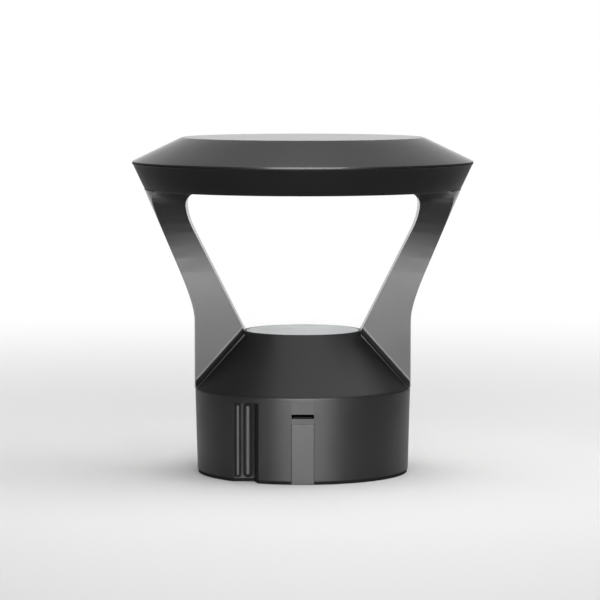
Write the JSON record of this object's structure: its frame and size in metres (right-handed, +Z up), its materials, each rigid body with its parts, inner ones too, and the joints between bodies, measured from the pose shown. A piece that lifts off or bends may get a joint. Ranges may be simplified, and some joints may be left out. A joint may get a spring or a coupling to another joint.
{
  "type": "deck post cap light",
  "caption": "Round post cap light: a drum and cone with an upward lamp under a flush lens, and a wide cap on two arms that throws the light down.",
  "frame": {"origin": "centre of the light's footprint on the post's top face", "axes": "+Z up along the drum's axis, -Y towards the front with the latch slot, +X to the right seen from the front"},
  "size_m": [0.2, 0.2, 0.197],
  "materials": {
    "powder_coat": "satin anthracite powder coat",
    "cover_coat": "satin anthracite powder coat",
    "latch_coat": "satin anthracite powder coat",
    "rubber": "matt",
    "opal": "fine satin",
    "aluminium": "brushed",
    "steel": "brushed",
    "spring_steel": "black oxide",
    "brass": "satin",
    "white_paint": "matt",
    "board": "satin solder mask",
    "led": "matt",
    "potting": "satin",
    "nylon": "fine texture",
    "wire": "satin"
  },
  "bodies": {
    "mount": {"mounting_plate": "aluminium", "post_gasket": "rubber", "cable_grommet": "rubber", "socket_block": "nylon", "socket_contacts": "brass", "clamp_screws": "steel", "block_screws": "steel", "catch_bracket": "steel", "catch_rivets": "brass", "catch_screws": "steel"},
    "catch": {"catch_blade": "spring_steel"},
    "light_head": {"base_housing": "powder_coat", "edge_seal": "rubber", "latch_plate": "latch_coat", "lens": "opal", "lens_gasket": "rubber", "inner_reflector": "white_paint", "led_board": "board", "led_chips": "led", "board_screws": "steel", "heat_sink": "aluminium", "heat_sink_screws": "steel", "led_driver": "potting", "driver_strap": "steel", "strap_screws": "steel", "led_leads": "wire", "plug_body": "nylon", "plug_pins": "brass", "plug_leads": "wire", "plug_bracket": "steel", "bracket_screws": "steel", "arm_left": "powder_coat", "arm_right": "powder_coat", "arm_screws": "steel", "cap_body": "powder_coat", "cap_cover": "cover_coat", "cap_screws": "steel", "cover_screws": "steel", "reflector_disc": "white_paint", "reflector_screw": "steel"}
  },
  "joints": [
    {"name": "lift_off", "type": "slide", "parent": "mount", "child": "light_head", "axis": [0, 0, 1], "range_m": [0, 0.06], "deforming": ["catch_blade"]},
    {"name": "catch_press", "type": "hinge", "parent": "mount", "child": "catch", "pos_m": [0, -0.0561, 0.012], "axis": [1, 0, 0], "range_deg": [-4, 0], "stiffness_Nm_per_rad": 0.05, "deforming": ["catch_blade"]}
  ]
}
